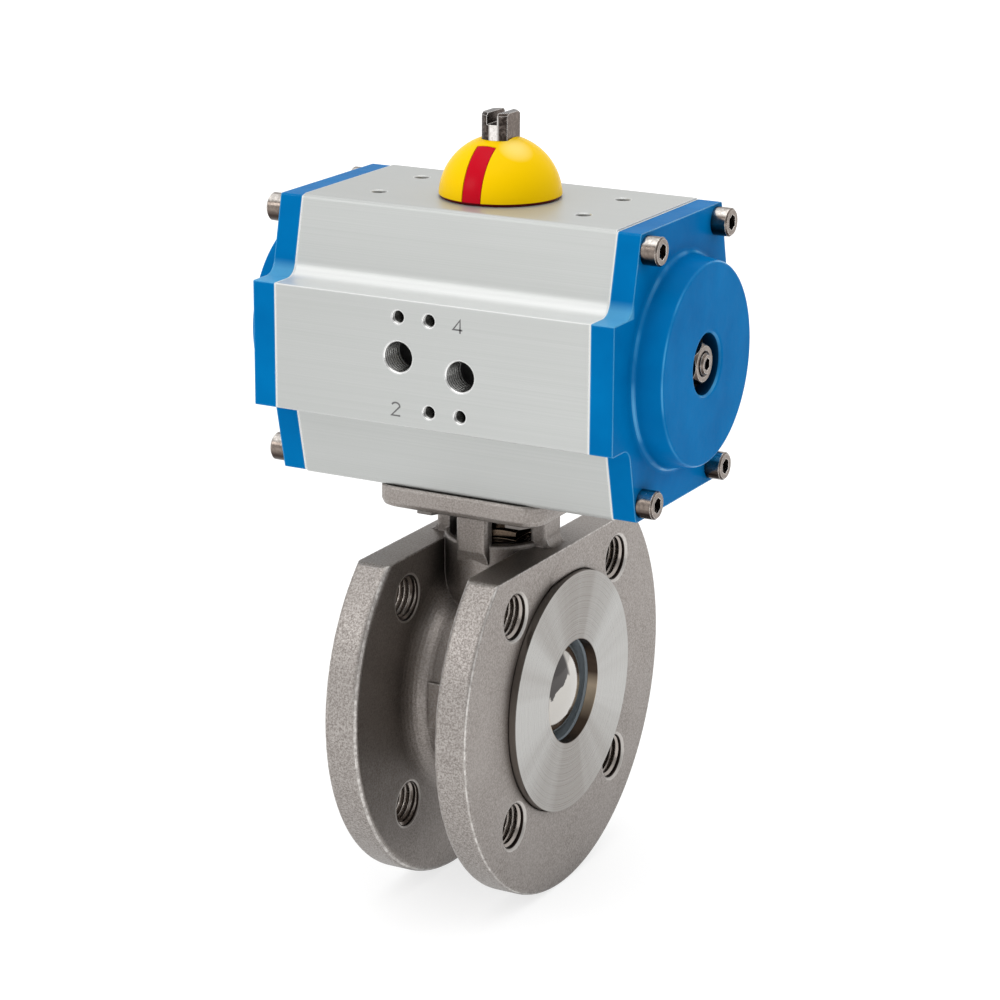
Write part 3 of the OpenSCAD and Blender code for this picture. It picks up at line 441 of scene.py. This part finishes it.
def shaft_metal():
    """Nickel plate with a painted dark reflection, a painted highlight stripe up each round side,
    painted shade in the slot and painted highlights on its edges.
    """
    s = Shader("nickel_steel", (0.15, 0.11, 0.09), 0.25, 1.0)
    # Painted reflections: dark, with a painted highlight stripe up each round side.
    dark, light = (0.030, 0.023, 0.020), (0.78, 0.75, 0.72)
    stripe = s.math("MAXIMUM", s.facing((0.105, -0.995, 0), 0.955, 0.985),
                    s.facing((-0.105, 0.995, 0), 0.955, 0.985))
    flats = s.math("MAXIMUM", s.facing((1, 0, 0), 0.95, 0.99), s.facing((-1, 0, 0), 0.95, 0.99))
    side = s.mix_color(flats, s.mix_color(stripe, dark, light), (0.110, 0.086, 0.072))
    # Painted shade on the flats inside the slot.
    off_axis = s.math("ABSOLUTE", s.math("SUBTRACT", s.axis("X"), STEM_X))
    slot = s.spread(off_axis, 1, 0, 2.1 * MM, 2.25 * MM)
    inner = s.mix_color(s.times(slot, flats), side, (0.05, 0.035, 0.028))
    specks = s.mix_color(s.spread(s.noise(900, 4), 0, 0.5, 0.45, 0.75), inner, (0.30, 0.25, 0.22))
    # Painted highlights on the edges.
    s.color(s.mix_color(s.edge(0.4 * MM), specks, light))
    s.soften(0.3 * MM)
    s.bump(s.noise(1500, 3), 0.03 * MM, 0.5)
    return s.mat


def ball_metal():
    """Polished ball with a painted reflection: the dark shape that it mirrors from the room."""
    s = Shader("polished_steel", (0.50, 0.49, 0.47), 0.10, 1.0)
    # Painted reflection: dark above a tilted line on the front half.
    tilt = s.math("ADD", s.axis("Z"), s.times(s.axis("Y"), -0.45))
    wobble = s.times(s.noise(160, 3), 14 * MM)
    dark = s.times(s.spread(s.math("ADD", tilt, wobble), 0, 1, 12.0 * MM, 12.6 * MM),
                   s.spread(s.axis("Y"), 1, 0, -1 * MM, 0.5 * MM))
    s.color(s.mix_color(dark, (0.52, 0.50, 0.47), (0.085, 0.080, 0.078)))
    s.roughness(s.spread(s.noise(300, 2), 0.07, 0.14))
    return s.mat


def red_plastic():
    """Red plastic, with painted shade in the ring under the dome."""
    s = Shader("red_plastic", (0.55, 0.0, 0.012), 0.26, 0.0, Specular_IOR_Level=0.08)
    # Painted shade in the ring under the dome.
    foot = s.spread(s.axis("Z"), 0, 1, ACT_TOP_Z + 0.9 * MM, ACT_TOP_Z + 1.1 * MM)
    s.color(s.mix_color(foot, (0.10, 0.0, 0.004), (0.55, 0.0, 0.012)))
    s.soften(0.2 * MM)
    return s.mat


def yellow_plastic():
    """Yellow plastic with a painted soft highlight on its shoulder."""
    s = Shader("yellow_plastic", (0.93, 0.59, 0.0), 0.26, 0.0, Specular_IOR_Level=0.04)
    # Painted soft highlight on the shoulder.
    patch = s.spread(s.facing((0.434, -0.279, 0.857), 0.955, 1.0), 0, 0.40, 0, 1)
    s.color(s.mix_color(patch, (0.93, 0.59, 0.0), (1.0, 0.90, 0.40)))
    s.soften(0.3 * MM)
    return s.mat


def plastic(name, color, roughness):
    s = Shader(name, color, roughness, 0.0, Specular_IOR_Level=0.15)
    s.soften(0.3 * MM)
    s.bump(s.noise(500, 2), 0.02 * MM, 0.2)
    return s.mat


MATERIALS = {
    "cast_steel": cast_steel(),
    "turned_steel": turned_steel(),
    "polished_steel": ball_metal(),
    "steel": painted_light_metal("steel", (0.22, 0.165, 0.125), (0.05, 0.035, 0.028),
                          (0.70, 0.55, 0.42), (0.7, -0.7, 0.1), 0.3 * MM),
    "thread_steel": plain_metal("thread_steel", (0.40, 0.36, 0.33), 0.22),
    "thread_aluminium": thread_aluminium(),
    "thread_port": plain_metal("thread_port", (0.50, 0.50, 0.49), 0.26),
    "rim_aluminium": plain_metal("rim_aluminium", (0.86, 0.86, 0.85), 0.24),
    "screw_steel": painted_light_metal("screw_steel", (0.27, 0.225, 0.195), (0.045, 0.032, 0.027),
                                (0.84, 0.79, 0.74), (0, -0.57, 0.82), 0.35 * MM),
    "spring_steel": plain_metal("spring_steel", (0.17, 0.155, 0.145), 0.34),
    "nickel_steel": shaft_metal(),
    "ptfe": plastic("ptfe", (0.33, 0.38, 0.42), 0.4),
    "bearing_plastic": plastic("bearing_plastic", (0.62, 0.55, 0.35), 0.5),
    "rubber": plastic("rubber", (0.012, 0.012, 0.013), 0.6),
    "gasket_fibre": plastic("gasket_fibre", (0.80, 0.80, 0.78), 0.6),
    "anodised": anodised(),
    "cast_aluminium": plain_metal("cast_aluminium", (0.50, 0.51, 0.52), 0.45),
    "blue_paint": blue_paint(),
    "red_plastic": red_plastic(),
    "yellow_plastic": yellow_plastic(),
    "etched": plastic("etched", (0.17, 0.17, 0.17), 0.6),
}
for entry in frame["record"]["subparts"]:
    data = nodes[entry["node"]].data
    data.materials.clear()
    data.materials.append(MATERIALS[entry["material_slot"]])


# ---------------------------------------------------------------- details

def add_piece(name, verts, faces, material, body="housing", smooth_angle=None):
    mesh = bpy.data.meshes.new(name)
    mesh.from_pydata([tuple(v) for v in verts], [], faces)
    mesh.validate()
    if smooth_angle is not None:
        mesh.polygons.foreach_set("use_smooth", [True] * len(mesh.polygons))
        mesh.set_sharp_from_angle(angle=math.radians(smooth_angle))
    mesh.materials.append(MATERIALS[material])
    piece = bpy.data.objects.new(name, mesh)
    bpy.context.scene.collection.objects.link(piece)
    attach(piece, body)
    return piece


def frame_along(axis):
    """Two directions that make a right-handed set with the axis."""
    across = Vector((0, 0, 1)) if abs(axis.z) < 0.9 else Vector((1, 0, 0))
    first = across.cross(axis).normalized()
    return first, axis.cross(first)


def add_threads(name, holes, radius, depth, pitch, length, material, steps=36):
    """A closed ridge winds down each hole: its mouth's centre and the direction into it."""
    outer, wide, flat = radius + 0.03 * MM, 0.46 * pitch, 0.07 * pitch
    verts, faces = [], []
    turns = length / pitch
    count = int(turns * steps)
    for mouth, axis in holes:
        mouth, axis = Vector(mouth), Vector(axis)
        first, second = frame_along(axis)
        base = len(verts)
        for i in range(count + 1):
            angle = 2 * math.pi * i / steps
            out = first * math.cos(angle) + second * math.sin(angle)
            fade = min(1.0, i / (0.5 * steps), (count - i) / (0.5 * steps))
            along = pitch * i / steps
            inner = radius - depth * fade
            for r, z in ((outer, -wide), (inner, -flat), (inner, flat), (outer, wide)):
                verts.append(mouth + axis * (along + z * max(fade, 0.1)) + out * r)
        for i in range(count):
            a, b = base + 4 * i, base + 4 * i + 4
            faces += [(a + k, a + (k + 1) % 4, b + (k + 1) % 4, b + k) for k in range(4)]
        end = base + 4 * count
        faces += [(base + 3, base + 2, base + 1, base), (end, end + 1, end + 2, end + 3)]
    return add_piece(name, verts, faces, material, smooth_angle=40)


def add_stroke(name, paths, centre, width, material):
    """Flat strokes on the front face, drawn in millimetres about a centre."""
    verts, faces = [], []
    front, back = FRONT_Y - 0.02 * MM, FRONT_Y + 0.03 * MM
    for path in paths:
        base = len(verts)
        points = [Vector(p) for p in path]
        for i, p in enumerate(points):
            before = (p - points[i - 1]).normalized() if i else (points[1] - p).normalized()
            after = (points[i + 1] - p).normalized() if i < len(points) - 1 else before
            side = Vector((-(before + after).y, (before + after).x)).normalized()
            half = width / 2 / max(0.5, side.dot(Vector((-after.y, after.x))))
            for sign in (-1, 1):
                q = p + side * half * sign
                x, z = centre[0] + q.x * MM, centre[1] + q.y * MM
                verts += [(x, front, z), (x, back, z)]
        for i in range(len(points) - 1):
            a = base + 4 * i
            b = a + 4
            faces += [(a, b, b + 2, a + 2), (a + 1, a + 3, b + 3, b + 1),
                      (a, a + 1, b + 1, b), (a + 2, b + 2, b + 3, a + 3)]
        end = base + 4 * (len(points) - 1)
        faces += [(base, base + 2, base + 3, base + 1), (end, end + 1, end + 3, end + 2)]
    return add_piece(name, verts, faces, material)


def add_numerals():
    """Port numbers in plain strokes, two beside the lower port and four beside the upper."""
    arc = [(1.55 * math.cos(a), 1.15 + 1.2 * math.sin(a))
           for a in (math.radians(160 - 14 * i) for i in range(13))]
    two = [[*arc, (-1.65, -2.2), (1.75, -2.2)]]
    four = [[(0.95, -2.3), (0.95, 2.3), (-1.75, -1.1), (1.85, -1.1)]]
    for name, paths, at in (("numeral_2", two, (-12.9, -16.4)), ("numeral_4", four, (11.2, 15.4))):
        add_stroke(name, paths, (STEM_X + at[0] * MM, ACT_MID_Z + at[1] * MM), 0.6, "etched")


def add_mouths(name, holes, radius, width, steps):
    """A chamfered ring lines the mouth of each hole."""
    verts, faces = [], []
    outer, inner = radius + 0.02 * MM, radius - width
    section = ((0.03 * MM, outer), (width, inner), (1.5 * width, inner), (2 * width, outer))
    for mouth, axis in holes:
        mouth, axis = Vector(mouth), Vector(axis)
        first, second = frame_along(axis)
        base = len(verts)
        for i in range(steps):
            angle = 2 * math.pi * i / steps
            out = first * math.cos(angle) + second * math.sin(angle)
            verts += [mouth + axis * depth + out * r for depth, r in section]
        for i in range(steps):
            a, b = base + 4 * i, base + 4 * ((i + 1) % steps)
            faces += [(a + k, a + (k + 1) % 4, b + (k + 1) % 4, b + k) for k in range(4)]
    return add_piece(name, verts, faces, "rim_aluminium", smooth_angle=30)


def inward(holes, depth):
    """The same holes, started a little deeper."""
    return [(Vector(mouth) + Vector(axis) * depth, axis) for mouth, axis in holes]


def add_all_threads():
    """Threads in all holes: M16 in the flanges, G1/4 in the ports and M5 in the rest."""
    flange = [((STEM_X + side * FLANGE_FACE, sy * HOLE_REACH, sz * HOLE_REACH), (-side, 0, 0))
              for side in (1, -1) for sy in (-1, 1) for sz in (-1, 1)]
    add_threads("flange_threads", inward(flange, 1.6 * MM), FLANGE_HOLE_R, 1.05 * MM, 2.0 * MM,
                10.4 * MM, "thread_steel", 40)
    ports, small = ([((STEM_X + x * MM, FRONT_Y, ACT_MID_Z + z * MM), (0, 1, 0)) for x, z in places]
                    for places in (PORTS, SMALL_HOLES))
    add_mouths("port_mouths", ports, PORT_R, 0.45 * MM, 48)
    add_threads("port_threads", inward(ports, 1.1 * MM), PORT_R, 0.38 * MM, 1.337 * MM,
                9.6 * MM, "thread_port")
    add_mouths("small_mouths", small, SMALL_R, 0.35 * MM, 32)
    add_threads("small_threads", inward(small, 0.8 * MM), SMALL_R, SMALL_RIDGE, SMALL_PITCH,
                8.0 * MM, "thread_aluminium", 24)
    top = [((STEM_X + x * MM, y * MM, ACT_TOP_Z), (0, 0, -1)) for x, y in TOP_HOLES]
    add_threads("top_threads", inward(top, 0.9 * MM), SMALL_R, SMALL_RIDGE, SMALL_PITCH,
                6.0 * MM, "rim_aluminium", 24)


add_numerals()
add_all_threads()


# ---------------------------------------------------------------- stage

def floor_material():
    """White floor with a painted glow, weaker near the object as a painted shade around it."""
    s = Shader("floor", (FLOOR_ALBEDO,) * 3, 0.9, 0.0, Specular_IOR_Level=0.0)
    gap = s.node("ShaderNodeVectorMath", operation="DISTANCE")
    s.link(s.place(), gap.inputs[0])
    gap.inputs[1].default_value = (STEM_X, 0, FLOOR_Z)
    s.bsdf.inputs["Emission Color"].default_value = (1, 1, 1, 1)
    # Painted glow, weaker near the object as painted shade.
    glow = s.spread(gap.outputs["Value"], *FLOOR_GLOW, 0.25, 0.8)
    s.link(glow, s.bsdf.inputs["Emission Strength"])
    return s.mat


def add_floor():
    mesh = bpy.data.meshes.new("floor")
    corners = ((-1, -1), (1, -1), (1, 1), (-1, 1))
    mesh.from_pydata([(x * FLOOR_HALF, y * FLOOR_HALF, FLOOR_Z) for x, y in corners],
                     [], [(0, 1, 2, 3)])
    floor = bpy.data.objects.new("floor", mesh)
    bpy.context.scene.collection.objects.link(floor)
    mesh.materials.append(floor_material())


def add_light(name, at, size, power):
    """A square light that shines at the middle of the object."""
    data = bpy.data.lights.new(name, "AREA")
    data.energy = power
    data.shape = "SQUARE"
    data.size = size
    light = bpy.data.objects.new(name, data)
    light.location = at
    towards = Vector(LIGHT_TARGET) - Vector(at)
    light.rotation_euler = towards.to_track_quat("-Z", "Y").to_euler()
    bpy.context.scene.collection.objects.link(light)


def add_camera():
    azimuth, elevation, roll = (math.radians(a) for a in CAMERA_ANGLES)
    data = bpy.data.cameras.new("camera")
    data.lens = CAMERA_LENS
    data.sensor_width = 36
    data.clip_start = 0.05
    data.clip_end = 60
    camera = bpy.data.objects.new("camera", data)
    turn = (Matrix.Rotation(azimuth, 4, "Z") @ Matrix.Rotation(math.pi / 2 - elevation, 4, "X")
            @ Matrix.Rotation(roll, 4, "Z"))
    camera.matrix_world = Matrix.Translation(CAMERA_AT) @ turn
    bpy.context.scene.collection.objects.link(camera)
    bpy.context.scene.camera = camera


def add_world():
    """A studio of soft panels.

    Each has a direction, the cosines where it starts and where it is full, and a strength.
    """
    panels = (((-0.62, -0.74, 0.12), 0.55, 0.95, 0.05),
              ((0.80, -0.60, 0.10), 0.45, 0.95, -0.48),
              ((0.00, -0.20, 1.00), 0.78, 0.97, 1.10))
    world = bpy.data.worlds.new("world")
    world.use_nodes = True
    tree = world.node_tree
    sky = tree.nodes["Background"]
    sky.inputs["Color"].default_value = (1, 1, 1, 1)
    coords = tree.nodes.new("ShaderNodeTexCoord")
    total = None
    for direction, start, full, strength in panels:
        dot = tree.nodes.new("ShaderNodeVectorMath")
        dot.operation = "DOT_PRODUCT"
        dot.inputs[1].default_value = Vector(direction).normalized()
        tree.links.new(coords.outputs["Generated"], dot.inputs[0])
        panel = tree.nodes.new("ShaderNodeMapRange")
        panel.interpolation_type = "SMOOTHSTEP"
        for key, value in (("From Min", start), ("From Max", full),
                           ("To Min", 0), ("To Max", strength)):
            panel.inputs[key].default_value = value
        tree.links.new(dot.outputs["Value"], panel.inputs["Value"])
        add = tree.nodes.new("ShaderNodeMath")
        add.operation = "ADD"
        add.inputs[1].default_value = WORLD_BASE
        tree.links.new(panel.outputs["Result"], add.inputs[0])
        if total is not None:
            tree.links.new(total, add.inputs[1])
        total = add.outputs[0]
    tree.links.new(total, sky.inputs["Strength"])
    bpy.context.scene.world = world
    bpy.context.scene.view_settings.view_transform = "Standard"


add_floor()
add_world()
add_camera()
add_light("key", (-0.9, -1.3, 0.9), 0.5, 2.5)
add_light("top", (0.2, 0.5, 1.6), 0.8, 2)
